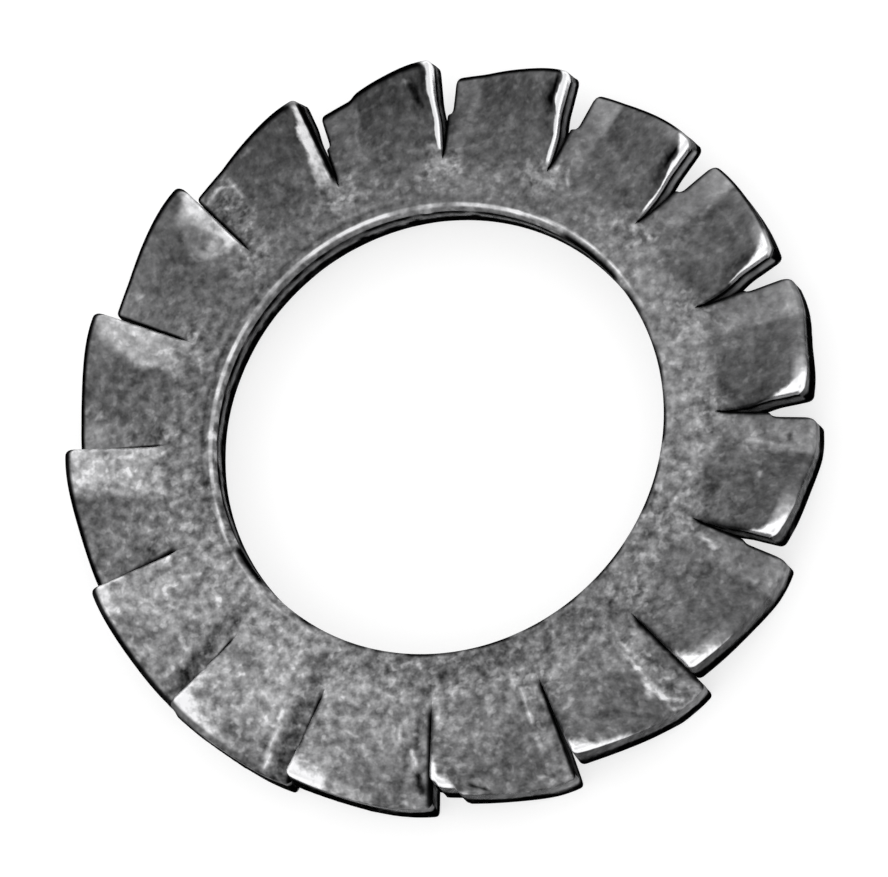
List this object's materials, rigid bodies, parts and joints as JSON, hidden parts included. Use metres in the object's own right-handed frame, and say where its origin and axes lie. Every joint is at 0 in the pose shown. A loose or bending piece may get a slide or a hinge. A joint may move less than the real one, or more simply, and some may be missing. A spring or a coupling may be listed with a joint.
{
  "type": "lock washer",
  "caption": "Round steel lock washer with a plain bore, its rim sheared into fan-shaped teeth that are twisted to bite both faces.",
  "frame": {"origin": "centre of the bore, halfway through the flat ring", "axes": "+Z along the bore axis, up when the washer lies flat; +X towards the middle of one tooth"},
  "size_m": [0.0178, 0.0178, 0.0021],
  "materials": {
    "spring_steel": "plain dark grey hardened spring steel, mottled, with bright worn tooth edges"
  },
  "bodies": {
    "root": {"lock_washer": "spring_steel"}
  },
  "joints": []
}
